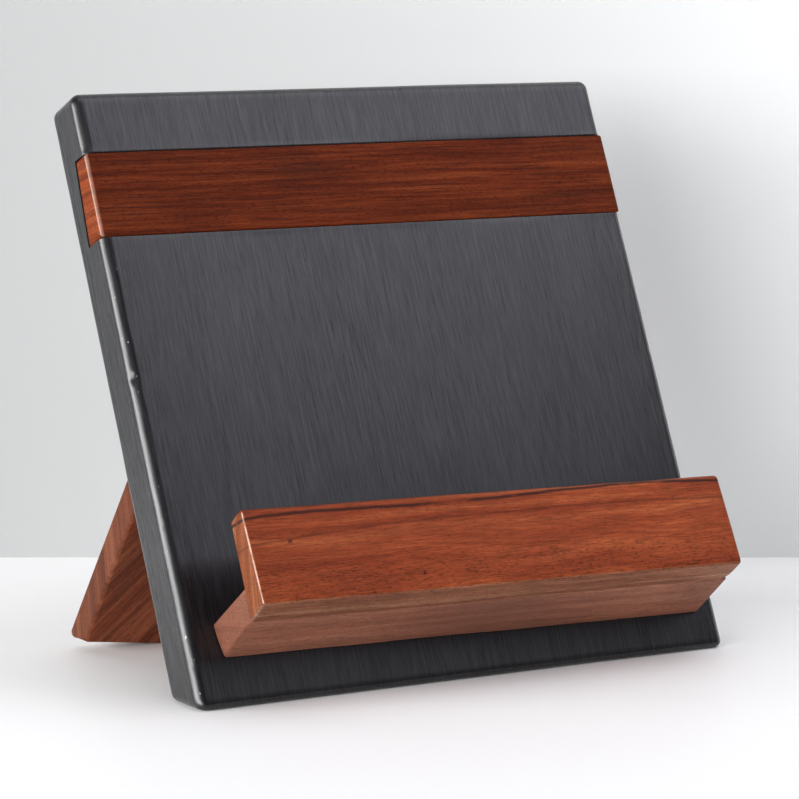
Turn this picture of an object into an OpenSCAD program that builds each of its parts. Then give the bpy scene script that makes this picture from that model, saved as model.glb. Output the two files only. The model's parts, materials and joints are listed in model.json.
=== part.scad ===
// Tablet stand: a thick painted panel that leans back on a hinged easel leg,
// with an inlaid wooden band near its top and a wooden ledge along its bottom.
// Millimetres. The origin is the middle of the face that the panel stands on;
// +X is to the right, +Y to the back and +Z up.

/* [Panel] */
// Width of the panel
panel_w = 260; // [200:1:330]
// Height of the panel, measured up its slope
panel_h = 269; // [210:0.5:340]
// Thickness of the panel
panel_t = 25; // [16:0.5:30]
// Angle that the panel leans back from upright
lean = 24.5; // [15:0.5:32]
// Radius of the panel's rounded long and top edges
panel_edge_r = 4.5; // [2:0.5:6]

/* [Band] */
// Height of the inlaid band
band_h = 37.2; // [20:0.2:50]
// Depth of the band at its upper edge
band_t = 10.5; // [5:0.5:14]
// Depth of the band at its lower edge
band_foot_t = 13.8; // [5:0.1:16]
// Distance from the band's top edge to the top of the panel
band_below_top = 27.7; // [15:0.1:60]
// Glue line left along the band's two long edges
glue_line = 0.1; // [0.05:0.05:0.3]

/* [Ledge] */
// Length of the ledge along its lip
ledge_w = 233.4; // [160:0.2:280]
// Distance that the ledge sits to the right of the middle
ledge_shift = 2.7; // [0:0.1:5]
// Angle that the ledge is out of square with the panel, right end low
ledge_skew = 1; // [0:0.1:2]
// Height of the shelf's top surface on the panel's face
shelf_up = 33.7; // [28:0.1:60]
// Thickness of the shelf
shelf_t = 14; // [10:0.5:18]
// Angle that the shelf tips down towards the panel
shelf_tip = 15; // [0:0.5:18]
// Distance that the shelf's left end runs out, from nothing at the lip to this at the panel
shelf_flare = 2.4; // [0:0.1:4]
// Width of the groove between the panel and the lip, at the shelf
groove_w = 27.4; // [15:0.2:40]
// Length of the lip's front face
lip_h = 41.8; // [30:0.1:60]
// Thickness of the lip at its foot
lip_t = 13.8; // [10:0.1:18]
// Lean of the lip's front face against the panel
lip_front_lean = 5; // [0:0.5:8]
// Lean of the lip's back face against the panel
lip_back_lean = 1; // [0:0.5:4]

/* [Leg] */
// Width of the leg
leg_w = 233; // [180:1:260]
// Thickness of the leg
leg_t = 14; // [10:0.5:18]
// Angle between the panel's back and the open leg
leg_spread = 61.5; // [50:0.5:70]
// Height of the leg's root, measured up the panel's back
leg_root = 110.4; // [95:0.1:130]
// Gap between the leg's bevelled root and the panel's back
stop_gap = 0.3; // [0.2:0.05:0.5]
// Height that the foot is eased off at each end
foot_ease_h = 5; // [0:0.5:8]
// Length over which the foot is eased off
foot_ease_w = 37.5; // [20:0.5:60]

/* [Hinges] */
// Length of each butt hinge
hinge_w = 38; // [30:1:50]
// Distance of each hinge's middle from the centre
hinge_x = 75; // [50:1:85]
// Thickness of the hinge leaves
leaf_t = 1.2; // [1:0.1:1.6]
// Width of each leaf, from the pin's axis to its free edge
leaf_w = 17; // [14:0.5:24]
// Radius of the hinge pin
pin_r = 1.2; // [1:0.1:1.6]
// Wall of the knuckles round the pin
knuckle_wall = 0.95; // [0.8:0.05:1.5]
// Radial clearance of the pin in the leg leaf's knuckles
pin_running = 0.05; // [0.02:0.01:0.1]
// Radial clearance of the pin in the panel leaf's knuckles
pin_fixed = 0.02; // [0.01:0.01:0.05]
// Gap between a hinge's moving pieces
hinge_gap = 0.3; // [0.2:0.05:0.5]
// Radius of the leaves' free corners
leaf_corner_r = 2; // [1:0.5:4]

/* [Screws and dowels] */
// Radius of the hinge screws' shanks
leaf_screw_r = 1.3; // [1:0.1:1.6]
// Length of the hinge screws
leaf_screw_l = 10; // [8:0.5:12]
// Distance between the two screws in a leaf
leaf_screw_pitch = 24; // [16:1:28]
// Distance of the hinge screws from the pin's axis
leaf_screw_out = 10.5; // [9:0.5:14]
// Radius of the ledge screws' shanks
ledge_screw_r = 2.1; // [1.5:0.1:2.5]
// Depth that the ledge screws reach into the shelf
ledge_screw_bite = 18; // [12:1:22]
// Distance between the ledge screws
ledge_screw_pitch = 70; // [50:1:75]
// Radius of the dowels that hold the lip to the shelf
dowel_r = 3; // [2:0.5:3.5]
// Depth of a dowel in the shelf
dowel_in_shelf = 12; // [8:0.5:12]
// Depth of a dowel in the lip
dowel_in_lip = 7; // [5:0.5:8]
// Distance between the dowels
dowel_pitch = 68; // [50:1:70]
// Radial clearance round screws and dowels
shank_fit = 0.05; // [0.02:0.01:0.1]

/* [Hidden] */
$fn = 48;

// Colours
black_paint = [0.10, 0.11, 0.13];
red_brown = [0.45, 0.18, 0.09];
pale_wood = [0.80, 0.65, 0.45];
aged_brass = [0.60, 0.47, 0.24];
zinc = [0.62, 0.62, 0.60];

over = 1;                // how far a cutter reaches past what it cuts
big = 4 * panel_h;       // size of a cutter that takes away a whole side
base_d = panel_t / cos(lean);
band_low = panel_h - band_below_top - band_h;

// Ledge: heights are up the panel, depths are behind its face
shelf_low = shelf_up - shelf_t / cos(shelf_tip);
shelf_mid = (shelf_up + shelf_low) / 2;
groove_floor = shelf_up + groove_w * tan(shelf_tip);
skew_pivot = 45;

// Where the lip's back face stands at a height up the panel
function lip_back_at(up) = -groove_w + (up - groove_floor) * tan(lip_back_lean);

// Where the tipped lines of the shelf, from a height on the panel, meet the lip's back face
function on_lip_back(from) =
    let (slope = tan(shelf_tip), lie = tan(lip_back_lean))
    let (d = (-groove_w + (from - groove_floor) * lie) / (1 + slope * lie))
    [d, from - d * slope];

// Corners of the ledge's section, as depth and height
lip_back_low = on_lip_back(shelf_low);
lip_back_notch = on_lip_back(shelf_up);
lip_foot = lip_back_low + lip_t * [-1, tan(shelf_tip)];
lip_top = lip_foot + lip_h * [sin(lip_front_lean), cos(lip_front_lean)];
lip_back_top = on_lip_back(lip_top[1] + lip_top[0] * tan(shelf_tip));

// Hinge: the axis is the same distance off the panel's back and off the leg's inner face
knuckle_r = pin_r + knuckle_wall;
axis_off = knuckle_r + hinge_gap;
axis_up = leg_root - axis_off / tan(leg_spread / 2);
axis_d = panel_t + axis_off;
knuckles = 5;
knuckle_pitch = hinge_w / knuckles;
knuckle_w = knuckle_pitch - hinge_gap;
notch_d = knuckle_r + hinge_gap;
pin_head_r = pin_r + 0.5;
pin_head_t = 0.8;

// Leg, cut from a board that reaches from above the axis to below the floor
axis_z = axis_up * cos(lean) - axis_d * sin(lean);
leg_reach = axis_z / cos(leg_spread - lean) + 3 * leg_t;
foot_flat = leg_w / 2 - foot_ease_w;

// Screws
leaf_head_r = 2.2 * leaf_screw_r;
leaf_head_t = leaf_head_r - leaf_screw_r;
ledge_head_r = 2 * ledge_screw_r;
ledge_head_t = ledge_head_r - ledge_screw_r;
ledge_screw_up = shelf_mid + ledge_screw_bite / 2 * tan(shelf_tip);
dowel_up = (lip_back_low[1] + lip_back_notch[1]) / 2;
dowel_end_gap = 0.5;

// Frames: x to the right, y behind the panel's face, z up its slope
module in_panel() {
    translate([0, -base_d / 2, 0])
        rotate([-lean, 0, 0])
            children();
}

module in_ledge() {
    in_panel()
        translate([ledge_shift, 0, skew_pivot])
            rotate([0, ledge_skew, 0])
                translate([0, 0, -skew_pivot])
                    children();
}

// The hinge's axis, with y off the panel's back
module on_axis() {
    in_panel()
        translate([0, axis_d, axis_up])
            children();
}

// The same axis, turned with the open leg
module in_leg() {
    on_axis()
        rotate([leg_spread, 0, 0])
            children();
}

// An outline in depth and height, drawn along the x axis and centred on it
module along_x(length) {
    rotate([90, 0, 90])
        linear_extrude(height = length, center = true)
            children();
}

// The band's section, which is deeper at its lower edge. For its dado it is carried out of
// the panel's face and past both long edges
module band_section(ahead = 0, past = 0) {
    taper = (band_foot_t - band_t) / band_h;
    polygon([
        [-ahead, band_low - past],
        [band_foot_t + past * taper, band_low - past],
        [band_t - past * taper, band_low + band_h + past],
        [-ahead, band_low + band_h + past]
    ]);
}

// A rectangle centred on x, from y = 0, with round corners
module rounded_plate(w, d, r) {
    translate([-w / 2 + r, 0])
        square([w - 2 * r, d]);
    translate([-w / 2, r])
        square([w, d - 2 * r]);
    for (x = [-w / 2 + r, w / 2 - r], y = [r, d - r])
        translate([x, y])
            circle(r = r);
}

// A countersunk wood screw that points along -y, with its head's face at y = 0
module wood_screw(shank_r, head_r, head_t, length, slot = true) {
    tip_l = 2 * shank_r;
    difference() {
        rotate([90, 0, 0]) {
            cylinder(h = head_t, r1 = head_r, r2 = shank_r);
            cylinder(h = length - tip_l, r = shank_r);
            translate([0, 0, length - tip_l])
                cylinder(h = tip_l, r1 = shank_r, r2 = shank_r / 4);
        }
        if (slot)
            for (turn = [0, 90])
                rotate([0, turn, 0])
                    cube([1.3 * head_r, head_t, head_r / 4], center = true);
    }
}

// Places of the ledge's screws and dowels
module at_ledge_screws() {
    for (i = [-1 : 1])
        in_ledge()
            translate([i * ledge_screw_pitch, panel_t, ledge_screw_up])
                children();
}

module at_dowels() {
    for (i = [-1.5 : 1.5])
        in_ledge()
            translate([i * dowel_pitch, lip_back_at(dowel_up), dowel_up])
                rotate([90 - lip_back_lean, 0, 0])
                    children();
}

// Places of the screws in a hinge's leaves; each frame has the leaf's outer face at y = 0
module at_panel_leaf_screws(side) {
    for (i = [-0.5, 0.5])
        on_axis()
            translate([side * hinge_x + i * leaf_screw_pitch, leaf_t - axis_off, -leaf_screw_out])
                children();
}

module at_leg_leaf_screws(side) {
    for (i = [-0.5, 0.5])
        in_leg()
            translate([side * hinge_x + i * leaf_screw_pitch, axis_off - leaf_t, -leaf_screw_out])
                rotate([0, 0, 180])
                    children();
}

module ledge_screw_shape(grow = 0, slot = true) {
    wood_screw(ledge_screw_r + grow, ledge_head_r + grow, ledge_head_t,
        panel_t + ledge_screw_bite + grow, slot);
}

module leaf_screw_shape(grow = 0, slot = true) {
    wood_screw(leaf_screw_r + grow, leaf_head_r + grow, leaf_head_t, leaf_screw_l + grow, slot);
}

module panel() {
    color(black_paint)
        difference() {
            intersection() {
                in_panel()
                    linear_extrude(height = panel_h)
                        rounded_plate(panel_w, panel_t, panel_edge_r);
                in_panel()
                    along_x(panel_w + 2 * over)
                        translate([panel_t / 2, -panel_h])
                            rounded_plate(panel_t, 2 * panel_h, panel_edge_r);
                translate([-big / 2, -big / 2, 0])
                    cube(big);
            }
            in_panel()
                along_x(panel_w + 2 * over)
                    band_section(over, glue_line);
            at_ledge_screws()
                ledge_screw_shape(shank_fit, false);
            for (side = [-1, 1])
                at_panel_leaf_screws(side)
                    leaf_screw_shape(shank_fit, false);
        }
}

module band() {
    color(red_brown)
        in_panel()
            along_x(panel_w)
                band_section();
}

module ledge_shelf() {
    color(red_brown)
        difference() {
            in_ledge()
                intersection() {
                    along_x(ledge_w + 2 * shelf_flare)
                        polygon([[0, shelf_up], [0, shelf_low], lip_back_low, lip_back_notch]);
                    linear_extrude(height = big, center = true)
                        polygon([
                            [-ledge_w / 2, -2 * groove_w],
                            [-ledge_w / 2, -groove_w],
                            [-ledge_w / 2 - shelf_flare, 0],
                            [ledge_w / 2, 0],
                            [ledge_w / 2, -2 * groove_w]
                        ]);
                }
            at_ledge_screws()
                ledge_screw_shape(shank_fit, false);
            at_dowels()
                translate([0, 0, -dowel_in_shelf - dowel_end_gap])
                    cylinder(h = dowel_in_shelf + dowel_end_gap + over, r = dowel_r + shank_fit);
        }
}

module ledge_lip() {
    color(red_brown)
        difference() {
            in_ledge()
                along_x(ledge_w)
                    polygon([lip_foot, lip_back_low, lip_back_top, lip_top]);
            at_dowels()
                translate([0, 0, -over])
                    cylinder(h = dowel_in_lip + dowel_end_gap + over, r = dowel_r + shank_fit);
        }
}

module lip_dowels() {
    color(pale_wood)
        at_dowels()
            translate([0, 0, -dowel_in_shelf])
                cylinder(h = dowel_in_shelf + dowel_in_lip, r = dowel_r);
}

module ledge_screws() {
    color(zinc)
        at_ledge_screws()
            ledge_screw_shape();
}

module leg() {
    color(red_brown)
        difference() {
            intersection() {
                in_leg()
                    translate([-leg_w / 2, axis_off, -leg_reach])
                        cube([leg_w, leg_t, leg_reach + panel_t + leg_t]);
                in_panel()
                    translate([-big / 2, panel_t + stop_gap, -big / 2])
                        cube(big);
                translate([-big / 2, -big / 2, 0])
                    cube(big);
            }
            // The foot is eased off towards both ends
            for (turn = [0, 180])
                rotate([90, 0, turn])
                    linear_extrude(height = big, center = true)
                        polygon([
                            [foot_flat, 0],
                            [leg_w / 2 + over, foot_ease_h * (foot_ease_w + over) / foot_ease_w],
                            [leg_w / 2 + over, -over],
                            [foot_flat, -over]
                        ]);
            for (side = [-1, 1])
                at_leg_leaf_screws(side)
                    leaf_screw_shape(shank_fit, false);
        }
}

// A hinge leaf: its plate hangs below the axis with its wood side at y = -axis_off,
// and it owns every second knuckle, starting from the one numbered first
module leaf(first, bore_clearance) {
    difference() {
        union() {
            translate([0, leaf_t - axis_off, 0])
                rotate([90, 0, 0])
                    linear_extrude(height = leaf_t)
                        difference() {
                            translate([0, -leaf_w])
                                union() {
                                    translate([-hinge_w / 2, leaf_corner_r])
                                        square([hinge_w, leaf_w - leaf_corner_r]);
                                    translate([-hinge_w / 2 + leaf_corner_r, 0])
                                        square([hinge_w - 2 * leaf_corner_r, leaf_w]);
                                    for (x = [-1, 1])
                                        translate([x * (hinge_w / 2 - leaf_corner_r), leaf_corner_r])
                                            circle(r = leaf_corner_r);
                                }
                            for (i = [0 : knuckles - 1])
                                if (i % 2 != first)
                                    translate([
                                        -hinge_w / 2 + (i == 0 ? -over : i * knuckle_pitch - hinge_gap / 2),
                                        -notch_d
                                    ])
                                        square([
                                            knuckle_pitch + hinge_gap
                                                + (i == 0 || i == knuckles - 1 ? over : 0),
                                            notch_d + over
                                        ]);
                        }
            for (i = [first : 2 : knuckles - 1])
                translate([-hinge_w / 2 + i * knuckle_pitch + hinge_gap / 2, 0, 0])
                    rotate([0, 90, 0])
                        cylinder(h = knuckle_w, r = knuckle_r);
        }
        translate([-hinge_w / 2 - over, 0, 0])
            rotate([0, 90, 0])
                cylinder(h = hinge_w + 2 * over, r = pin_r + bore_clearance);
        for (i = [-0.5, 0.5])
            translate([i * leaf_screw_pitch, leaf_t - axis_off, -leaf_screw_out])
                leaf_screw_shape(shank_fit, false);
    }
}

module panel_leaf(side) {
    color(aged_brass)
        on_axis()
            translate([side * hinge_x, 0, 0])
                leaf(0, pin_fixed);
}

module leg_leaf(side) {
    color(aged_brass)
        in_leg()
            translate([side * hinge_x, 0, 0])
                mirror([0, 1, 0])
                    leaf(1, pin_running);
}

module hinge_pin(side) {
    color(aged_brass)
        on_axis()
            translate([side * hinge_x, 0, 0])
                rotate([0, 90, 0]) {
                    cylinder(h = hinge_w, r = pin_r, center = true);
                    for (end = [-1, 1])
                        translate([0, 0, end * (hinge_w + pin_head_t) / 2])
                            cylinder(h = pin_head_t, r = pin_head_r, center = true);
                }
}

module panel_leaf_screws(side) {
    color(aged_brass)
        at_panel_leaf_screws(side)
            leaf_screw_shape();
}

module leg_leaf_screws(side) {
    color(aged_brass)
        at_leg_leaf_screws(side)
            leaf_screw_shape();
}

panel();
band();
ledge_shelf();
ledge_lip();
lip_dowels();
ledge_screws();
leg();
panel_leaf(-1);  // left_panel_leaf
leg_leaf(-1);  // left_leg_leaf
hinge_pin(-1);  // left_hinge_pin
panel_leaf_screws(-1);  // left_panel_leaf_screws
leg_leaf_screws(-1);  // left_leg_leaf_screws
panel_leaf(1);  // right_panel_leaf
leg_leaf(1);  // right_leg_leaf
hinge_pin(1);  // right_hinge_pin
panel_leaf_screws(1);  // right_panel_leaf_screws
leg_leaf_screws(1);  // right_leg_leaf_screws
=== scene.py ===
import json
import math

import bpy
import numpy as np
from mathutils import Euler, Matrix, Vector


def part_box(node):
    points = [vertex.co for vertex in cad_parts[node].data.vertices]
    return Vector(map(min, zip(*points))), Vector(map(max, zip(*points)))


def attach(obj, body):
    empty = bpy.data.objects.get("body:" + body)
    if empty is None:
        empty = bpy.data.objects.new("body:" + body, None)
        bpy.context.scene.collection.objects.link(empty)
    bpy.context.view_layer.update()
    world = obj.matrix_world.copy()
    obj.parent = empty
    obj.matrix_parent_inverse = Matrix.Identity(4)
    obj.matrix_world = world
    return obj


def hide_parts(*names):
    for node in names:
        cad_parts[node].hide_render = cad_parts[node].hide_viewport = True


# Tablet stand: a painted panel with a band let into it, a ledge with a lip, and a hinged easel leg
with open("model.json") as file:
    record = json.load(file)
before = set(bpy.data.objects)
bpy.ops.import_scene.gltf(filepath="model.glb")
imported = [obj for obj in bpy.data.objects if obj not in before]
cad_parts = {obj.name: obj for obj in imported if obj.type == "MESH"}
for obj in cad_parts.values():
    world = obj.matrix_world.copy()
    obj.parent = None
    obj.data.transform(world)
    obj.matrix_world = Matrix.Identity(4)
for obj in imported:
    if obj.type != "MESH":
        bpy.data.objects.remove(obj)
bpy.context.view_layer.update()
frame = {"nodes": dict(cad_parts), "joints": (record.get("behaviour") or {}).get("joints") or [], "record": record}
mounts = {m["name"]: m for m in frame["record"]["mounts"]}
hinge = frame["joints"][0]
mm = 0.001
smallestRound = 0.12 * mm
print("frame loaded:", len(frame["nodes"]), "nodes")


# places: each board has a frame of its own, x to the right, y through it, z up its slope
def directions(euler):
    # the rows are the board's own axes, written in the row frame
    return np.array(Euler(euler, "XYZ").to_matrix())


faceLook = mounts["tablet_rest"]["axis"]  # where the panel's face looks
lean = math.atan2(faceLook[2], -faceLook[1])
panelAxes = directions((lean, 0, 0))
shelfUp = panelAxes @ np.array(mounts["tablet_shelf"]["axis"])
skew = math.atan2(shelfUp[0], shelfUp[2])
spread = math.radians(max(hinge["range_deg"]))
panelRoot = np.array([0.0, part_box("panel")[0].y, 0.0])

boards = {
    "panel": {"turn": (lean, 0, 0), "at": panelRoot},
    "ledge": {"turn": (lean, -skew, 0), "at": panelRoot},
    "leg": {"turn": (lean - spread, 0, 0), "at": np.array(hinge["pos_m"])},
}
for place in boards.values():
    place["axes"] = directions(place["turn"])


def fromBoard(points, board):
    # from the board's frame to the row frame: turned by its axes, then moved to its root
    return points @ boards[board]["axes"] + boards[board]["at"]


def onBoard(node, board):
    # the CAD node's corners, measured in the board's own frame
    points = np.array([v.co for v in frame["nodes"][node].data.vertices])
    return (points - boards[board]["at"]) @ boards[board]["axes"].T


def furthest(points, towards):
    # the corner of a section that reaches furthest in a direction (through, up)
    return points[np.argmax(points[:, 1:] @ np.array(towards))][1:]


# surfaces
def unit(v):
    # each vector divided by its own length
    return v / np.linalg.norm(v, axis=-1, keepdims=True)


def ripple(points, size, seed, waves=14):
    # smooth noise from about -1 to 1: a sum of sine waves in seeded directions, each about size long
    rng = np.random.default_rng(seed)
    ways = unit(rng.normal(size=(waves, 3))) * rng.uniform(0.6, 1.7, (waves, 1)) * 2 * math.pi / size
    return np.sin(points @ ways.T + rng.uniform(0, 2 * math.pi, waves)).sum(-1) / math.sqrt(waves) / 1.5


def steps(length, gap, lead=0.3 * mm):
    # places along a straight side: one close to each end, and the rest evenly spread
    count = max(2, int(length / gap))
    return np.concatenate([[0], np.linspace(lead, length - lead, count), [length]]) / length


def outline(corners, radii, inset, gap, arcSteps=8):
    # closed outline of a polygon with rounded corners, drawn inset from its sides:
    # every arc's centre is (inset + radius) from both sides that meet at its corner
    corners = np.asarray(corners, float)
    out = unit(np.roll(corners, -1, 0) - corners)
    outNormal = np.stack([out[:, 1], -out[:, 0]], 1)
    inNormal = np.roll(outNormal, 1, 0)
    radii = np.maximum(np.asarray(radii, float) - inset, smallestRound)
    bisector = (inNormal + outNormal) / (1 + (inNormal * outNormal).sum(1))[:, None]
    middle = corners - bisector * (inset + radii)[:, None]
    first = np.arctan2(inNormal[:, 1], inNormal[:, 0])
    last = np.arctan2(outNormal[:, 1], outNormal[:, 0])
    last = first + (last - first) % (2 * math.pi)
    share = np.linspace(0, 1, arcSteps + 1)
    angle = first[:, None] + (last - first)[:, None] * share
    arcs = middle[:, None] + radii[:, None, None] * np.stack([np.cos(angle), np.sin(angle)], -1)
    points = []
    for i, arc in enumerate(arcs):
        side = arcs[(i + 1) % len(arcs)][0] - arc[-1]
        length = np.linalg.norm(corners[(i + 1) % len(arcs)] - corners[i])
        points.append(arc)
        points.append(arc[-1] + steps(length, gap)[1:-1, None] * side)
    return np.concatenate(points)


def roundedRun(low, high, lowRound, highRound, gap, arcSteps=6, extra=()):
    # stations from low to high and how far the outline is inset there: a quarter round at each end
    turn = np.linspace(0, math.pi / 2, arcSteps + 1)
    start = low + lowRound * (1 - np.cos(turn))
    end = high - highRound * (1 - np.cos(turn))[::-1]
    middle = np.linspace(start[-1], end[0], max(3, int((high - low) / gap)))[1:-1]
    at = np.unique(np.concatenate([start, middle, end, extra]))
    below = np.clip(1 - (at - low) / lowRound, 0, 1)
    above = np.clip(1 - (high - at) / highRound, 0, 1)
    inset = lowRound * (1 - np.sqrt(1 - below**2)) + highRound * (1 - np.sqrt(1 - above**2))
    return at, inset


def capped(rings, ways=(0.75, 0.5, 0.25)):
    # rings that shrink onto the middle of the first and last ring close the two ends
    first, last = rings[0], rings[-1]
    head = [first.mean(0) + (first - first.mean(0)) * w for w in ways[::-1]]
    tail = [last.mean(0) + (last - last.mean(0)) * w for w in ways]
    return np.concatenate([head, rings, tail])


def skin(name, rings, attributes=()):
    # a closed tube through rings of equal length, with a point at each end; (rings, points, 3)
    count, around = rings.shape[:2]
    points = np.concatenate([rings.reshape(-1, 3), rings[:1].mean(1), rings[-1:].mean(1)])
    index = np.arange(count * around).reshape(count, around)
    nextIndex = np.roll(index, -1, 1)
    quads = np.stack([index[:-1], nextIndex[:-1], nextIndex[1:], index[1:]], -1).reshape(-1, 4)
    startFan = np.stack([nextIndex[0], index[0], np.full(around, count * around)], -1)
    endFan = np.stack([index[-1], nextIndex[-1], np.full(around, count * around + 1)], -1)
    mesh = bpy.data.meshes.new(name)
    mesh.from_pydata(points.tolist(), [], quads.tolist() + startFan.tolist() + endFan.tolist())
    mesh.polygons.foreach_set("use_smooth", np.ones(len(mesh.polygons), bool))
    for label, values in attributes:
        layer = mesh.attributes.new(label, "FLOAT", "POINT")
        ends = [values[0].mean(), values[-1].mean()]
        layer.data.foreach_set("value", np.concatenate([values.ravel(), ends]).astype(np.float32))
    mesh.update()
    piece = bpy.data.objects.new(name, mesh)
    bpy.context.scene.collection.objects.link(piece)
    return piece


def board(name, section, low, high, spec, place, reshape=None):
    # a bar: its section (through, up) carried along x, rounded over at both ends, then worn inwards
    # by a smooth wave, which is weaker along x
    at, inset = roundedRun(low, high, spec["ends"], spec["ends"], spec["gap"])
    rings = []
    for x, d in zip(at, inset):
        flat = outline(section, spec["radii"], d, spec["sideGap"])
        rings.append(np.column_stack([np.full(len(flat), x), flat]))
    rings = capped(np.array(rings))
    if reshape:
        rings = reshape(rings)
    middle = rings.reshape(-1, 3).mean(0)
    inward = np.sign(rings - middle)
    wave = (ripple(rings, spec["waveSize"], spec["seed"]) + 1) * 0.5 * spec["wave"]
    rings = rings - inward * wave[..., None] * np.array([0.6, 1, 1])
    return skin(name, fromBoard(rings, place))


def roundCorner(rings, end, edge, radius):
    # rounds a board's corner as seen from the front, between the end plane x = end and the edge plane
    # z = edge: a point nearer than the radius to both is drawn in to the circle that touches them
    sideX, sideZ = np.sign(end), np.sign(edge - rings[..., 2].mean())
    nearX = np.maximum(radius - sideX * (end - rings[..., 0]), 0)
    nearZ = np.maximum(radius - sideZ * (edge - rings[..., 2]), 0)
    reach = np.maximum(np.hypot(nearX, nearZ), 1e-9)
    pull = np.where((nearX > 0) & (nearZ > 0), np.minimum(radius / reach, 1), 1)
    rings = rings.copy()
    rings[..., 0] += sideX * nearX * (pull - 1)
    rings[..., 2] += sideZ * nearZ * (pull - 1)
    return rings


# shader maths: an expression on wires adds its Math nodes
class Wire:
    def __init__(self, tree, socket):
        self.tree, self.socket = tree, socket

    def calc(self, operation, *others):
        # one Math node on this wire and the others
        return self.tree.node("ShaderNodeMath", {"operation": operation}, [self, *others])

    def __add__(self, other):
        return self.calc("ADD", other)

    def __sub__(self, other):
        return self.calc("SUBTRACT", other)

    def __rsub__(self, other):
        return self.tree.node("ShaderNodeMath", {"operation": "SUBTRACT"}, [other, self])

    def __mul__(self, other):
        return self.calc("MULTIPLY", other)

    def __truediv__(self, other):
        return self.calc("DIVIDE", other)

    def __pow__(self, other):
        return self.calc("POWER", other)

    __radd__ = __add__
    __rmul__ = __mul__


# one material: every node comes from node(), and the methods after it are the kinds used here
class Finish:
    def __init__(self, name):
        self.material = bpy.data.materials.new(name)
        self.material.use_nodes = True
        self.nodes, self.links = self.material.node_tree.nodes, self.material.node_tree.links
        self.shader = self.nodes["Principled BSDF"]

    def feed(self, socket, value):
        # a wire is linked, a colour gets its alpha, and any other value is set
        if isinstance(value, Wire):
            self.links.new(value.socket, socket)
        elif isinstance(value, (tuple, list)) and len(value) == 3 and socket.type == "RGBA":
            socket.default_value = (*value, 1)
        else:
            socket.default_value = value

    def node(self, kind, settings, inputs, pick=0):
        # adds one node: its settings first, then the values or wires of its sockets
        made = self.nodes.new(kind)
        for key, value in settings.items():
            if key == "stops":
                self.setStops(made.color_ramp, value)
            elif key == "smooth":
                made.color_ramp.interpolation = "B_SPLINE"
            else:
                setattr(made, key, value)
        pairs = enumerate(inputs) if isinstance(inputs, list) else inputs.items()
        for key, value in pairs:
            self.feed(made.inputs[key], value)
        return Wire(self, made.outputs[pick])

    def setStops(self, ramp, stops):
        # a ramp's stops are pairs of a position and a colour
        while len(ramp.elements) < len(stops):
            ramp.elements.new(0.5)
        for element, (position, colour) in zip(ramp.elements, stops):
            element.position = position
            element.color = (*colour, 1)

    def place(self, board, spin=0):
        # Object coordinates in the board's own frame; spin turns the grain in the board's face
        turn = boards[board]["turn"]
        location = -(boards[board]["axes"] @ boards[board]["at"])
        found = self.node("ShaderNodeTexCoord", {}, {}, "Object")
        found = self.node("ShaderNodeMapping", {}, {"Vector": found, "Location": location, "Rotation": turn})
        if spin:
            found = self.node("ShaderNodeMapping", {}, {"Vector": found, "Rotation": (0, spin, 0)})
        return found

    def scaled(self, vector, scale):
        # each of a vector's three parts times its own scale
        return self.node("ShaderNodeVectorMath", {"operation": "MULTIPLY"}, [vector, scale])

    def noise(self, vector, scale, detail, rough, warp=0):
        # noise from 0 to 1, with scale waves in a metre along each axis
        vector = self.scaled(vector, scale)
        return self.node("ShaderNodeTexNoise", {}, {"Vector": vector, "Scale": 1, "Detail": detail,
                                                    "Roughness": rough, "Distortion": warp}, "Fac")

    def axis(self, vector, letter):
        # one of a vector's three parts
        return self.node("ShaderNodeSeparateXYZ", {}, {"Vector": vector}, letter)

    def joined(self, x, y, z):
        # a vector made of three parts
        return self.node("ShaderNodeCombineXYZ", {}, [x, y, z])

    def between(self, value, low, high, toLow=0, toHigh=1):
        # smooth step of a wire: toLow where it is low, toHigh where it is high
        return self.node("ShaderNodeMapRange", {"interpolation_type": "SMOOTHSTEP"},
                         [value, low, high, toLow, toHigh])

    def mix(self, share, a, b, blend="MIX"):
        # colour a, with this share of b blended over it
        settings = {"data_type": "RGBA", "blend_type": blend}
        return self.node("ShaderNodeMix", settings, {0: share, 6: a, 7: b}, 2)

    def attribute(self, name):
        # a number that the mesh keeps at each of its points
        return self.node("ShaderNodeAttribute", {"attribute_name": name}, {}, "Fac")

    def done(self, sockets):
        # the shader's sockets by name: a value is set on the socket, and a wire is linked to it
        for label, value in sockets.items():
            self.feed(self.shader.inputs[label], value)
        return self.material

    def clearBehind(self):
        # a sheet seen from its back is clear, so it never stands before the object
        back = self.node("ShaderNodeNewGeometry", {}, {}, "Backfacing")
        clear = self.node("ShaderNodeBsdfTransparent", {}, {})
        solid = Wire(self, self.shader.outputs[0])
        mixed = self.node("ShaderNodeMixShader", {}, [back, solid, clear])
        self.links.new(mixed.socket, self.nodes["Material Output"].inputs["Surface"])

    def bumped(self, height, depth):
        # a normal that follows a height, where a height of 1 stands depth metres up
        return self.node("ShaderNodeBump", {}, {"Height": height, "Distance": depth, "Strength": 1})


# what every wood starts from: a size is waves in a metre along the grain, through it and up the
# board, apart from lineSize, which is waves in a lane of the figure
plainWood = {"spin": 0, "brighterRight": 0, "brightSpan": 0.12, "gloss": 0.08, "coat": 0.0,
             "lineSize": (2.7, 1.4, 1), "fibreSize": (90, 2400, 2400), "poreSize": (420, 2100, 2100),
             "veinFade": 0.07, "denseFade": 4 * mm, "fibreRough": 0.16, "blotchRough": 0.12,
             "relief": 0.12 * mm, "endTint": (1, 1.15, 1.2), "endFade": (1.2 * mm, 0.2 * mm),
             "lines": (), "marks": ()}
plainMark = {"rag": (300, 900, 900), "ragged": 0.8, "core": 0.25}
veinSpec = {"deepest": 20.0, "wobble": 1.6 * mm, "wobbleSize": (45, 0, 0), "breakSize": (60, 200, 200)}


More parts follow.
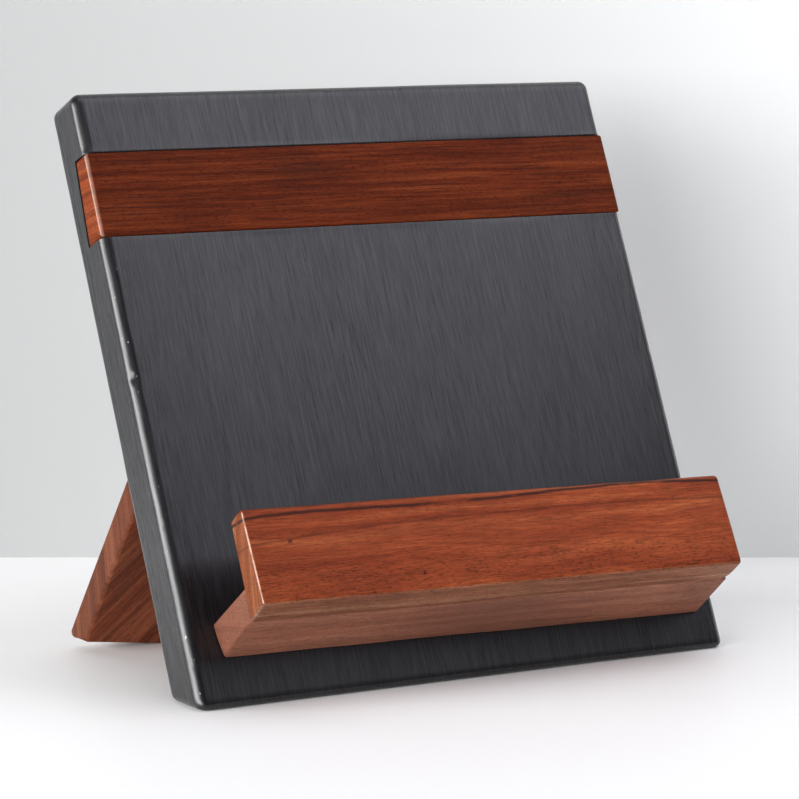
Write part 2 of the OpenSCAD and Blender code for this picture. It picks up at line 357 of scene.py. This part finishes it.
def woodFinish(name, changes, place):
    # solid wood: colour follows rings round a pith that lies outside the board, so faces show
    # long figure and ends show arcs; fibres and pores are noise drawn out along the grain
    spec = {**plainWood, **changes}
    f = Finish(name)
    p = f.place(place, spec["spin"])
    bend = f.noise(p, spec["bendSize"], 2, 0.5)
    x, y, z = (f.axis(p, letter) for letter in "XYZ")
    dy = y - spec["pith"][0] + (bend - 0.5) * spec["bend"]
    dz = z - spec["pith"][1] + (bend - 0.5) * spec["bend"] * 0.6
    ring = (dy * dy + dz * dz) ** 0.5
    lane = f.joined(ring * spec["laneScale"], x * spec["laneAlong"], 0)
    figure = f.noise(lane, (1, 1, 1), 4, 0.6)
    lines = f.noise(lane, spec["lineSize"], 2, 0.5)
    blotch = f.noise(p, spec["blotchSize"], 3, 0.6)
    fibre = f.noise(p, spec["fibreSize"], 3, 0.6)
    pore = f.noise(p, spec["poreSize"], 2, 0.5)
    colour = f.node("ShaderNodeValToRGB", {"stops": spec["stops"]}, [f.between(figure, 0.25, 0.75)])
    colour = f.mix(f.between(blotch, 0.35, 0.7, 0, spec["blotch"]), colour, spec["blotchColour"])
    vein = f.between(lines, spec["veinFrom"], spec["veinFrom"] + spec["veinFade"], 0, spec["vein"])
    colour = f.mix(vein, colour, spec["veinColour"])
    streak = f.between(fibre, 0.3, 0.72, 1 - spec["fibre"], 1 + spec["fibre"] * 0.6)
    pores = f.between(pore, 0.50, 0.68, 0, spec["pores"])
    if "denseBelow" in spec:
        # the pores crowd together below a line on the face
        line, fade = spec["denseBelow"], spec["denseFade"]
        pores = pores * f.between(z, line + fade, line - fade, 0.8, 1.5)
    shade = streak * (1.08 - pores) * (1 + x * (spec["brighterRight"] / spec["brightSpan"]))
    colour = f.node("ShaderNodeVectorMath", {"operation": "SCALE"}, {"Vector": colour, "Scale": shade})
    flat = f.place(place)
    across = f.axis(flat, "X")
    for line in spec["lines"]:
        colour = f.mix(veinLine(f, flat, line), colour, spec["veinColour"])
    for mark in spec["marks"]:
        colour = darkMark(f, colour, flat, {**plainMark, **mark})
    if "under" in spec:
        # the lip's underside is left dull like the shelf's: how far a point is above the underside's plane
        dull = f.mix(1.0, colour, spec["under"], "MULTIPLY")
        above = fromLine(f, flat, lipSection[1], lipSection[0])
        colour = f.mix(f.between(above, *spec["underFade"]), colour, dull)
    # the ends show end grain, which has its own tone; on the band the end is painted brighter as well, a painted
    # highlight where the light from the left falls on it
    (left, right), (outer, inner) = spec["ends"], spec["endFade"]
    atEnd = f.between(across, left + outer, left + inner)
    atEnd = atEnd + f.between(across, right - outer, right - inner)
    colour = f.mix(atEnd, colour, f.mix(1.0, colour, spec["endTint"], "MULTIPLY"))
    shade = 1 - atEnd * (1 - spec["endToneAndHighlight"])
    colour = f.node("ShaderNodeVectorMath", {"operation": "SCALE"}, {"Vector": colour, "Scale": shade})
    coat = spec["coat"]
    if "arris" in spec:
        # the left arris, close to both the front and the end, gets a painted highlight: its colour is painted
        # paler, and its coat is raised so that it shines
        arris = spec["arris"]
        wide, narrow = arris["wide"], arris["wide"] * 0.55
        behind = fromLine(f, flat, arris["section"][0], arris["section"][3])
        arrisHighlight = f.between(behind, wide, narrow) * f.between(across - left, wide, narrow)
        patchy = f.between(f.noise(flat, (200, 200, 200), 2, 0.6), 0.3, 0.6, 0.25, arris["pale"])
        colour = f.mix(arrisHighlight * patchy, colour, arris["colour"])
        coat = spec["coat"] + arrisHighlight * arris["coat"]
    rough = spec["rough"] + (fibre - 0.5) * spec["fibreRough"] + (blotch - 0.5) * spec["blotchRough"]
    normal = f.bumped(fibre * 0.5 - pores * 0.8 + figure * 0.35, spec["relief"])
    return f.done({"Base Color": colour, "Roughness": rough, "Specular IOR Level": spec["gloss"],
                   "Coat Weight": coat, "Coat Roughness": spec["coatRough"], "Normal": normal})


def fromLine(f, p, start, end):
    # how far a point lies to the right of a section's side: the offset from its start, along its normal
    along = (np.array(end) - start) / np.linalg.norm(np.array(end) - start)
    through = f.axis(p, "Y") - float(start[0])
    up = f.axis(p, "Z") - float(start[1])
    return through * float(along[1]) - up * float(along[0])


def veinLine(f, p, line):
    # a dark vein along x: its distance in mm under the lip's top edge is read off a ramp of x
    share = (f.axis(p, "X") - leftEnd) / (rightEnd - leftEnd)
    stops = [(at, (depth / veinSpec["deepest"],) * 3) for at, depth in line["at"]]
    drop = f.node("ShaderNodeValToRGB", {"stops": stops, "smooth": True}, [share])
    drop = f.axis(drop, "X") * (veinSpec["deepest"] * mm)
    wobble = (f.noise(p, veinSpec["wobbleSize"], 3, 0.6) - 0.5) * veinSpec["wobble"]
    away = (f.axis(p, "Z") - (lipTop - drop + wobble)).calc("ABSOLUTE")
    width = line["width"] * mm
    broken = f.between(f.noise(p, veinSpec["breakSize"], 3, 0.6), 0.28, 0.48, 0.35, 1)
    return f.between(away, width, width * 0.15, 0, line["dark"]) * broken


def darkMark(f, colour, p, mark):
    # a soft dark spot or line: an ellipse round a point on the board, ragged by noise
    away = f.node("ShaderNodeVectorMath", {"operation": "SUBTRACT"}, [p, mark["at"]])
    away = f.scaled(away, [1 / s for s in mark["size"]])
    reach = f.node("ShaderNodeVectorMath", {"operation": "LENGTH"}, [away], "Value")
    ragged = reach + (f.noise(p, mark["rag"], 2, 0.6) - 0.5) * mark["ragged"]
    return f.mix(f.between(ragged, 1.0, mark["core"], 0, mark["dark"]), colour, mark["colour"])


# panel: painted black, with its edges rounded over
panelSpec = {"gap": 1.6 * mm, "sideGap": 4 * mm, "edge": 4.4 * mm, "edgeSteps": 10, "footEdge": 4.0 * mm,
             "footShare": 0.35, "grooveArris": 0.5 * mm, "grooveGap": 0.05 * mm, "grooveStep": 0.02 * mm,
             "wave": 0.22 * mm, "waveSize": 90 * mm, "edgeWave": 0.14 * mm, "edgeWaveSize": 26 * mm,
             "edgeReach": 2.2, "coreSide": 6 * mm, "coreEnd": 12 * mm, "bandMargin": 1 * mm,
             "bandSink": 0.08 * mm, "seed": 5, "dents": 5, "dentDepth": 0.22 * mm, "dentSize": 1.6 * mm,
             "dentInset": 1.2 * mm, "dentEnd": 6 * mm,
             "nick": {"height": 0.53, "size": 1.8 * mm, "depth": 0.6 * mm}}
panelPoints = onBoard("panel", "panel")
bandPoints = onBoard("band", "panel")
panelHigh = panelPoints.max(0)
bandLow, bandHigh = bandPoints.min(0), bandPoints.max(0)
bandSection = [furthest(bandPoints, way) for way in ((-1, -1), (1, -1), (1, 1), (-1, 1))]


def makePanel(spec):
    # its section (across, through) is carried up the slope; in the band's groove the points in front
    # are pushed back to the groove's floor, whose arrises are quarter rounds, and near the foot the
    # stations tilt until they lie level
    edge, arris = spec["edge"], spec["grooveArris"]
    width, thick, height = panelHigh
    grooveLow, grooveHigh = bandLow[2] - spec["grooveGap"], bandHigh[2] + spec["grooveGap"]
    rim = arris * np.sin(np.linspace(0, math.pi / 2, 5))
    lowSide = np.append(grooveLow - rim, grooveLow + spec["grooveStep"])
    highSide = np.append(grooveHigh + rim, grooveHigh - spec["grooveStep"])
    extra = np.concatenate([lowSide, highSide])
    at, inset = roundedRun(0, height, spec["footEdge"], edge, spec["gap"], extra=extra)
    corners = [(-width, 0), (width, 0), (width, thick), (-width, thick)]
    rings = []
    for s, d in zip(at, inset):
        flat = outline(corners, [edge] * 4, d, spec["sideGap"], spec["edgeSteps"])
        rings.append(np.column_stack([flat, np.full(len(flat), s)]))
    rings = np.array(rings)
    s = at[:, None]
    inGroove = (s > grooveLow) & (s < grooveHigh)
    outside = np.maximum(grooveLow - s, s - grooveHigh)
    lip = np.where(outside < arris, arris - np.sqrt(np.maximum(arris**2 - (arris - outside) ** 2, 0)), 0)
    (lowDepth, lowUp), (highDepth, highUp) = bandSection[1:3]
    depth = np.interp(s, [lowUp, highUp], [lowDepth, highDepth])
    floor = np.where(inGroove, depth, lip)
    rings[..., 1] = np.maximum(rings[..., 1], floor)
    fade = np.clip(1 - s / (spec["footShare"] * height), 0, 1)
    rings[..., 2] += rings[..., 1] * math.tan(lean) * fade
    return capped(rings)


def wearPanel(rings, spec):
    # hand sanding: faces wander a little, edges more, and small dents sit along the front edges;
    # every point moves away from the surface, towards a core that is inset from all sides
    width, thick, height = panelHigh
    offEdge = np.stack([width - np.abs(rings[..., 0]), np.minimum(rings[..., 1], thick - rings[..., 1])], -1)
    rimShare = np.exp(-((offEdge.max(-1)) / (spec["edgeReach"] * spec["edge"])) ** 2)
    wander = (ripple(rings, spec["waveSize"], spec["seed"]) + 1) * 0.5 * spec["wave"]
    edgeWander = ripple(rings, spec["edgeWaveSize"], spec["seed"] + 1) + 1
    wander += edgeWander * 0.5 * spec["edgeWave"] * rimShare
    rng = np.random.default_rng(spec["seed"])
    dent = np.zeros(rings.shape[:2])
    heights = rng.uniform(spec["dentEnd"], height - spec["dentEnd"], spec["dents"])
    sides = rng.choice([-1, 1], spec["dents"])
    sizes = spec["dentSize"] * rng.uniform(0.5, 1.3, spec["dents"])
    depths = spec["dentDepth"] * rng.uniform(0.3, 1.0, spec["dents"])
    # the one clear nick is on the left front edge, a little above the middle
    nick = spec["nick"]
    heights[0], sides[0], sizes[0], depths[0] = nick["height"] * height, -1, nick["size"], nick["depth"]
    for s, side, size, depth in zip(heights, sides, sizes, depths):
        spot = np.array([side * (width - spec["dentInset"]), spec["dentInset"], s])
        reach = np.linalg.norm((rings - spot) / (size * np.array([1, 1, 0.8])), axis=-1)
        dent += depth * np.exp(-reach**2)
    coreWide, coreEnd = width - spec["coreSide"], spec["coreEnd"]
    core = np.stack([np.clip(rings[..., 0], -coreWide, coreWide), np.full(rings.shape[:2], thick / 2),
                     np.clip(rings[..., 2], coreEnd, height - coreEnd)], -1)
    margin = spec["bandMargin"]
    inBand = (rings[..., 2] > bandLow[2] - margin) & (rings[..., 2] < bandHigh[2] + margin)
    inBand &= rings[..., 1] < bandHigh[1] + margin
    amount = np.where(inBand, spec["bandSink"], wander + dent)
    return rings - unit(rings - core) * amount[..., None], rimShare


panelRings, rimShare = wearPanel(makePanel(panelSpec), panelSpec)
panelWorld = fromBoard(panelRings, "panel")
panelWorld[..., 2] = np.maximum(panelWorld[..., 2], 0)
panel = skin("black_panel", panelWorld, [("rim", rimShare)])
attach(panel, "stand")
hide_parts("panel")
print("panel made:", len(panel.data.polygons), "faces")

# band: a straight bar that fills the groove, its ends a little rounded
bandSpec = {"gap": 4 * mm, "sideGap": 4 * mm, "ends": 1.8 * mm, "radii": [0.7 * mm] * 4,
            "wave": 0.1 * mm, "waveSize": 60 * mm, "seed": 11}
band = board("inlaid_band", bandSection, bandLow[0], bandHigh[0], bandSpec, "panel")
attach(band, "stand")
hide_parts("band")
print("band made")

# ledge: a shelf that tips back to the panel, and a lip along its front
lipSpec = {"gap": 3 * mm, "sideGap": 2 * mm, "ends": 1.3 * mm,
           "radii": [1.8 * mm, 0.3 * mm, 1.8 * mm, 2.4 * mm],
           "corners": [2.2 * mm, 3.4 * mm, 4.2 * mm, 3.4 * mm],
           "wave": 0.3 * mm, "waveSize": 55 * mm, "seed": 21}
shelfSpec = {"gap": 3 * mm, "sideGap": 1.5 * mm, "ends": 1.2 * mm,
             "radii": [0.8 * mm, 0.8 * mm, 0.4 * mm, 0.3 * mm],
             "flareHeight": 16 * mm, "flareLength": 25 * mm,
             "wave": 0.25 * mm, "waveSize": 55 * mm, "seed": 22}
lipPoints, shelfPoints = onBoard("ledge_lip", "ledge"), onBoard("ledge_shelf", "ledge")
lipSection = [furthest(lipPoints, way) for way in ((-1, -1), (1, -1), (1, 1), (-0.2, 1))]
lipFace, lipTop = float(lipSection[0][0]), float(lipSection[3][1])
shelfSection = [furthest(shelfPoints, way) for way in ((-1, -1.4), (1, -1), (1, 0.3), (-1, 1.2))]
leftEnd, rightEnd = lipPoints[:, 0].min(), lipPoints[:, 0].max()
flare = leftEnd - shelfPoints[:, 0].min()
shelfBottom = shelfPoints[:, 2].min()


def roundLip(rings):
    # each of the lip's four corners, left pair first and the lower before the upper, has its own radius
    low, high = lipPoints[:, 2].min(), lipPoints[:, 2].max()
    corners = [(end, edge) for end in (leftEnd, rightEnd) for edge in (low, high)]
    for (end, edge), radius in zip(corners, lipSpec["corners"]):
        rings = roundCorner(rings, end, edge, radius)
    return rings


def flareShelf(rings):
    # the left end runs out towards the panel: by nothing at the lip, and least along its lower edge
    towardsPanel = np.clip(1 - rings[..., 1] / shelfPoints[:, 1].min(), 0, 1)
    upwards = np.clip((rings[..., 2] - shelfBottom) / shelfSpec["flareHeight"], 0, 1)
    nearEnd = np.clip(1 - (rings[..., 0] - leftEnd) / shelfSpec["flareLength"], 0, 1)
    rings = rings.copy()
    rings[..., 0] -= flare * towardsPanel * np.sin(upwards * math.pi / 2) * nearEnd
    return rings


lip = board("ledge_lip_wood", lipSection, leftEnd, rightEnd, lipSpec, "ledge", roundLip)
shelf = board("ledge_shelf_wood", shelfSection, leftEnd, rightEnd, shelfSpec, "ledge", flareShelf)
for piece, node, slot in ((lip, "ledge_lip", "lip_wood"), (shelf, "ledge_shelf", "ledge_wood")):
    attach(piece, "stand")
    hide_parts(node)
print("ledge made")

# leg: one wide board, bevelled at its root and foot, and eased off at the foot's two ends
legSpec = {"gap": 3 * mm, "sideGap": 4 * mm, "ends": 1.5 * mm,
           "radii": [1.0 * mm, 2.4 * mm, 1.2 * mm, 0.8 * mm],
           "wave": 0.3 * mm, "waveSize": 80 * mm, "seed": 31}
legPoints = onBoard("leg", "leg")
legWorld = np.array([v.co for v in frame["nodes"]["leg"].data.vertices])
legFlat = np.abs(legWorld[legWorld[:, 2] < 0.01 * mm, 0]).max()
legWide = legPoints[:, 0].max()
legEase = legWorld[legWorld[:, 0] > legWide - 0.1 * mm, 2].min()
middleOfLeg = legPoints[np.abs(legWorld[:, 0]) < legFlat + 0.01 * mm]
legSection = [furthest(middleOfLeg, way) for way in ((-1, -1), (1, -1))]
legSection += [furthest(legPoints, way) for way in ((1, 1), (-1, 1))]


def easeFoot(rings):
    # the foot rises evenly from the flat stretch to each end; the leg's upper half stays as it is
    rise = np.clip((np.abs(rings[..., 0]) - legFlat) / (legWide - legFlat), 0, 1) * legEase
    bottom = rings[..., 2].min()
    share = np.clip(rings[..., 2] / bottom, 0, 1)
    rings[..., 2] += rise / math.cos(spread - lean) * share * share * (3 - 2 * share)
    return rings


leg = board("easel_leg", legSection, -legWide, legWide, legSpec, "leg", easeFoot)
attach(leg, "leg")
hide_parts("leg")
print("leg made")

# finishes
paintSpec = {"colour": (0.004, 0.004, 0.005), "streakColour": (0.009, 0.009, 0.0108),
             "wornColour": (0.3, 0.28, 0.26), "rough": 0.31, "gloss": 0.2, "sheen": 0.6, "relief": 0.035 * mm,
             "wideSize": (34, 34, 3), "streakSize": (1000, 1000, 50), "hairSize": (2600, 2600, 260),
             "fleckSize": (900, 900, 420)}


def paintFinish(name, spec, place):
    # satin paint brushed up the slope over open grain: streaks in colour, gloss and relief, and a
    # clear coat that is strong where the brush left it glossy; flecks are worn through along the rims
    f = Finish(name)
    p = f.place(place)
    wide = f.noise(p, spec["wideSize"], 3, 0.6)
    streak = f.noise(p, spec["streakSize"], 4, 0.65, 0.3)
    hair = f.noise(p, spec["hairSize"], 3, 0.6)
    rim = f.attribute("rim")
    colour = f.mix(f.between(streak, 0.38, 0.68), spec["colour"], spec["streakColour"])
    colour = f.mix(f.between(wide, 0.4, 0.7, 0, 0.4), colour, spec["streakColour"])
    fleck = f.noise(p, spec["fleckSize"], 2, 0.5)
    worn = f.between(fleck + rim * 0.13, 0.85, 0.88)
    colour = f.mix(worn * rim, colour, spec["wornColour"])
    rough = spec["rough"] + (streak - 0.5) * 0.16 + (wide - 0.5) * 0.1 - rim * 0.06
    normal = f.bumped(streak * 0.6 + hair * 0.8, spec["relief"])
    sheen = spec["sheen"] + (streak - 0.5) * 1.1 + (hair - 0.5) * 0.5 + (wide - 0.5) * 0.3
    return f.done({"Base Color": colour, "Roughness": rough, "Specular IOR Level": spec["gloss"],
                   "Coat Weight": sheen, "Coat Roughness": spec["rough"], "Normal": normal})


bandWood = {
    "pith": (0.032, -0.05), "bend": 0.006, "bendSize": (9, 26, 26), "laneScale": 480, "laneAlong": 11,
    "stops": [(0.0, (0.055, 0.0075, 0.002)), (0.5, (0.112, 0.018, 0.0045)), (1.0, (0.175, 0.035, 0.009))],
    "blotchSize": (14, 60, 60), "blotch": 0.5, "blotchColour": (0.055, 0.009, 0.003),
    "veinFrom": 0.60, "vein": 0.7, "veinColour": (0.03, 0.009, 0.006), "fibre": 0.28, "pores": 0.42,
    # the end's value above 1 paints the band's ends brighter than end grain alone: a painted highlight where the
    # light falls on them
    "ends": (bandLow[0], bandHigh[0]), "endToneAndHighlight": 1.6, "endTint": (1, 1.15, 1.1), "brighterRight": 0.1,
    "rough": 0.42, "gloss": 0.05, "coatRough": 0.3,
    # a painted highlight down the left arris: a little paler colour and a strong coat
    "arris": {"section": bandSection, "wide": 1.7 * mm, "coat": 0.75, "pale": 0.15,
              "colour": (0.5, 0.3, 0.2)},
    "marks": [{"at": (-30 * mm, 0, bandHigh[2] - 12 * mm), "size": (17 * mm, 30 * mm, 6 * mm), "dark": 0.55,
               "colour": (0.05, 0.011, 0.004), "rag": (260, 900, 900), "ragged": 2.6, "core": 0.0}],
}
lipWood = {
    "pith": (-0.12, 0.02), "bend": 0.007, "bendSize": (8, 22, 22), "laneScale": 300, "laneAlong": 4,
    "stops": [(0.0, (0.157, 0.024, 0.0065)), (0.5, (0.25, 0.049, 0.0142)), (1.0, (0.34, 0.086, 0.027))],
    "blotchSize": (18, 70, 70), "blotch": 0.45, "blotchColour": (0.15, 0.026, 0.009),
    "veinFrom": 0.64, "vein": 0.6, "veinColour": (0.035, 0.009, 0.005), "fibre": 0.34, "pores": 0.34,
    "ends": (leftEnd, rightEnd), "endToneAndHighlight": 0.83, "endTint": (1, 1.6, 2.2), "brighterRight": 0.1,
    "under": (0.98, 1.95, 3.5), "underFade": (1.3 * mm, 0.5 * mm), "denseBelow": lipTop - 27 * mm,
    "rough": 0.36, "gloss": 0.06, "coat": 0.03, "coatRough": 0.25,
    # a painted highlight down the left arris: a pale colour and some coat
    "arris": {"section": lipSection, "wide": 0.85 * mm, "coat": 0.4, "pale": 0.75,
              "colour": (0.62, 0.42, 0.33)},
    # the two long veins: share of the lip's length, and mm under its top edge
    "lines": [{"at": [(0, 5.6), (0.1, 3.4), (0.28, 4.6), (0.5, 4.2), (0.72, 2.0), (0.86, 1.6), (1, 4.0)],
               "width": 1.15, "dark": 0.95},
              {"at": [(0, 17.0), (0.12, 14.0), (0.3, 11.2), (0.5, 10.4), (0.8, 9.6), (1, 11.5)],
               "width": 0.8, "dark": 0.42}],
    # a knot at the left, a speck left of the middle, and a dark dash at the right end's top
    "marks": [{"at": (-96 * mm, lipFace, lipTop - 16 * mm), "size": (1.7 * mm, 9 * mm, 1.5 * mm),
               "dark": 0.8, "colour": (0.035, 0.009, 0.005)},
              {"at": (-38 * mm, lipFace, lipTop - 34 * mm), "size": (1.0 * mm, 9 * mm, 1.3 * mm),
               "dark": 0.9, "colour": (0.02, 0.006, 0.004)},
              {"at": (104 * mm, lipFace, lipTop - 2.6 * mm), "size": (7 * mm, 9 * mm, 0.9 * mm),
               "dark": 0.75, "colour": (0.04, 0.01, 0.006)}],
}
shelfWood = {
    "pith": (0.02, -0.09), "bend": 0.006, "bendSize": (8, 22, 22), "laneScale": 300, "laneAlong": 4,
    "stops": [(0.0, (0.2, 0.072, 0.043)), (0.5, (0.28, 0.11, 0.068)), (1.0, (0.36, 0.155, 0.1))],
    "blotchSize": (16, 60, 60), "blotch": 0.4, "blotchColour": (0.16, 0.075, 0.05),
    "veinFrom": 0.66, "vein": 0.45, "veinColour": (0.09, 0.04, 0.026), "fibre": 0.26, "pores": 0.36,
    "ends": (leftEnd, rightEnd), "endToneAndHighlight": 0.58, "endTint": (1, 0.97, 0.96), "brighterRight": -0.07,
    "rough": 0.55, "coatRough": 0.4,
    "marks": [{"at": (5 * mm, -30 * mm, shelfBottom), "size": (75 * mm, 70 * mm, 30 * mm), "dark": 0.6,
               "colour": (0.12, 0.05, 0.034), "rag": (12, 60, 60), "ragged": 0.9, "core": 0.0}],
}
legWood = {
    "pith": (0.05, -0.02), "bend": 0.008, "bendSize": (8, 22, 22), "laneScale": 300, "laneAlong": 4,
    "stops": [(0.0, (0.092, 0.021, 0.0095)), (0.5, (0.178, 0.045, 0.019)), (1.0, (0.265, 0.079, 0.037))],
    "blotchSize": (16, 60, 60), "blotch": 0.4, "blotchColour": (0.1, 0.032, 0.017),
    "veinFrom": 0.64, "vein": 0.5, "veinColour": (0.05, 0.017, 0.01), "fibre": 0.28, "pores": 0.4,
    "ends": (-legWide, legWide), "endToneAndHighlight": 0.6, "rough": 0.5, "coatRough": 0.4, "spin": math.radians(60),
}
panel.data.materials.append(paintFinish("black_satin_paint", paintSpec, "panel"))
band.data.materials.append(woodFinish("dark_oiled_wood", bandWood, "panel"))
lip.data.materials.append(woodFinish("red_oiled_wood", lipWood, "ledge"))
shelf.data.materials.append(woodFinish("pale_brown_wood", shelfWood, "ledge"))
leg.data.materials.append(woodFinish("brown_leg_wood", legWood, "leg"))


metalSpec = {"patchSize": (240, 240, 240), "brushSize": (180, 2400, 2400), "relief": 0.03 * mm}


def metalFinish(name, spec):
    # brushed metal with duller, darker patches where it has aged
    f = Finish(name)
    p = f.node("ShaderNodeTexCoord", {}, {}, "Object")
    patch = f.noise(p, metalSpec["patchSize"], 4, 0.65)
    brush = f.noise(p, metalSpec["brushSize"], 3, 0.6)
    dull = f.between(patch, 0.42, 0.68)
    colour = f.mix(dull, spec["colour"], spec["aged"])
    colour = f.mix(f.between(brush, 0.4, 0.7, 0, 0.35), colour, spec["bright"])
    rough = spec["rough"] + dull * 0.2 + (brush - 0.5) * 0.12
    normal = f.bumped(brush * 0.6 + patch, metalSpec["relief"])
    return f.done({"Base Color": colour, "Metallic": 1.0, "Roughness": rough, "Normal": normal})


brass = metalFinish("aged_brass", {"colour": (0.52, 0.36, 0.14), "aged": (0.2, 0.13, 0.06),
                                   "bright": (0.7, 0.52, 0.25), "rough": 0.32})
screwBrass = metalFinish("screw_brass", {"colour": (0.6, 0.43, 0.18), "aged": (0.26, 0.17, 0.08),
                                         "bright": (0.78, 0.6, 0.32), "rough": 0.28})
zinc = metalFinish("zinc_plate", {"colour": (0.5, 0.5, 0.48), "aged": (0.3, 0.3, 0.29),
                                  "bright": (0.66, 0.66, 0.66), "rough": 0.35})
dowelWood = {**shelfWood, "blotchColour": (0.45, 0.3, 0.17), "veinColour": (0.35, 0.22, 0.12),
             "stops": [(0.0, (0.42, 0.28, 0.16)), (0.5, (0.52, 0.37, 0.22)), (1.0, (0.62, 0.47, 0.3))],
             "spin": math.radians(90)}
dowelFinish = woodFinish("pale_dowel_wood", dowelWood, "ledge")
slotFinish = {"brass_hinge": brass, "brass_screw": screwBrass, "zinc_screw": zinc, "dowel_wood": dowelFinish}
for row in frame["record"]["subparts"]:
    if row["material_slot"] in slotFinish:
        node = frame["nodes"][row["node"]]
        node.data.materials.clear()
        node.data.materials.append(slotFinish[row["material_slot"]])
print("finishes made")

# floor, light and camera
viewSpec = {"yaw": 30.923, "pitch": 7.445, "away": 1.49118, "aside": -0.0317, "height": 0.31326,
            "lens": 163.2, "sensor": 36}
sheetSpec = {"wallBehind": 0.296, "wallLeft": 1.05, "wallHeight": 3, "side": 4, "front": 6, "behind": 4,
             "toneSpan": (-0.45, 0.45),
             "floor": {"left": (0.9, 0.9, 0.895), "right": (0.9, 0.9, 0.895),
                       "rough": 0.5, "oneSided": False},
             "wall": {"left": (0.285, 0.29, 0.29), "right": (0.72, 0.73, 0.73),
                      "rough": 0.9, "oneSided": True}}
worldSpec = {"grey": (0.12, 0.12, 0.128), "strength": 1.0}
# each light's place is measured from the aim, in metres, and its power is in watts
aim = (0, 0.03, 0.1)
lightSpec = {
    "window_left": {"offset": (-2.42, -0.38, 0.48), "size": (4.2, 0.75), "power": 156,
                    "colour": (1, 1, 1)},
    "bounce_right": {"offset": (1.32, -0.795, 1.86), "size": (2.2, 1.5), "power": 28.5,
                     "colour": (0.91, 0.89, 1)},
    "ceiling": {"offset": (-0.3, -0.5, 1.9), "size": (1.5, 1.5), "power": 9,
                "colour": (1, 1, 1)},
}
yaw, pitch = math.radians(viewSpec["yaw"]), math.radians(viewSpec["pitch"])
ahead = Vector((math.sin(yaw), math.cos(yaw), 0))
across = Vector((math.cos(yaw), -math.sin(yaw), 0))
stand = Vector((panelRoot[0], panelRoot[1], 0))


def makeCamera(spec):
    # the camera is away from the panel's foot, to one side and up, and looks ahead, tipped down by the pitch
    data = bpy.data.cameras.new("camera")
    data.lens, data.sensor_width = spec["lens"], spec["sensor"]
    camera = bpy.data.objects.new("camera", data)
    camera.location = stand - ahead * spec["away"] + across * spec["aside"] + Vector((0, 0, spec["height"]))
    look = ahead * math.cos(pitch) - Vector((0, 0, math.sin(pitch)))
    camera.rotation_euler = look.to_track_quat("-Z", "Y").to_euler()
    bpy.context.scene.collection.objects.link(camera)
    bpy.context.scene.camera = camera


def makeSheets(spec):
    # a pale table top that runs on behind the wall, and a wall across the view that starts at its left
    # and is clear from its back; the wall's tone rises evenly to the right, which makes up for the
    # window's light falling off
    back = stand + ahead * spec["wallBehind"]
    left, right = back - across * spec["side"], back + across * spec["side"]
    near = back - across * spec["wallLeft"]
    up = Vector((0, 0, spec["wallHeight"]))
    front, behind = ahead * spec["front"], ahead * spec["behind"]
    corners = {"floor": [left + behind, left - front, right - front, right + behind],
               "wall": [near, right, right + up, near + up]}
    for name, points in corners.items():
        mesh = bpy.data.meshes.new(name)
        mesh.from_pydata([tuple(point) for point in points], [], [(0, 1, 2, 3)])
        sheet = bpy.data.objects.new(name, mesh)
        bpy.context.scene.collection.objects.link(sheet)
        f = Finish("pale_" + name)
        place = f.node("ShaderNodeTexCoord", {}, {}, "Object")
        aside = f.node("ShaderNodeVectorMath", {"operation": "DOT_PRODUCT"}, [place, tuple(across)], "Value")
        tone = f.mix(f.between(aside, *spec["toneSpan"]), spec[name]["left"], spec[name]["right"])
        mesh.materials.append(f.done({"Base Color": tone, "Roughness": spec[name]["rough"]}))
        if spec[name]["oneSided"]:
            f.clearBehind()


def softbox(name, spec):
    # a soft rectangle of light, offset from the aim and turned to face it
    data = bpy.data.lights.new(name, "AREA")
    data.shape, data.size, data.size_y = "RECTANGLE", *spec["size"]
    data.energy, data.color = spec["power"], spec["colour"]
    light = bpy.data.objects.new(name, data)
    light.location = Vector(aim) + Vector(spec["offset"])
    light.rotation_euler = (-Vector(spec["offset"])).to_track_quat("-Z", "Y").to_euler()
    bpy.context.scene.collection.objects.link(light)


def makeWorld(spec):
    # an even grey all round
    world = bpy.data.worlds.new("studio")
    world.use_nodes = True
    background = world.node_tree.nodes["Background"]
    background.inputs["Color"].default_value = (*spec["grey"], 1)
    background.inputs["Strength"].default_value = spec["strength"]
    bpy.context.scene.world = world


makeCamera(viewSpec)
makeSheets(sheetSpec)
makeWorld(worldSpec)
for name, spec in lightSpec.items():
    softbox(name, spec)
bpy.context.scene.view_settings.view_transform = "Standard"
print("floor, light and camera made")
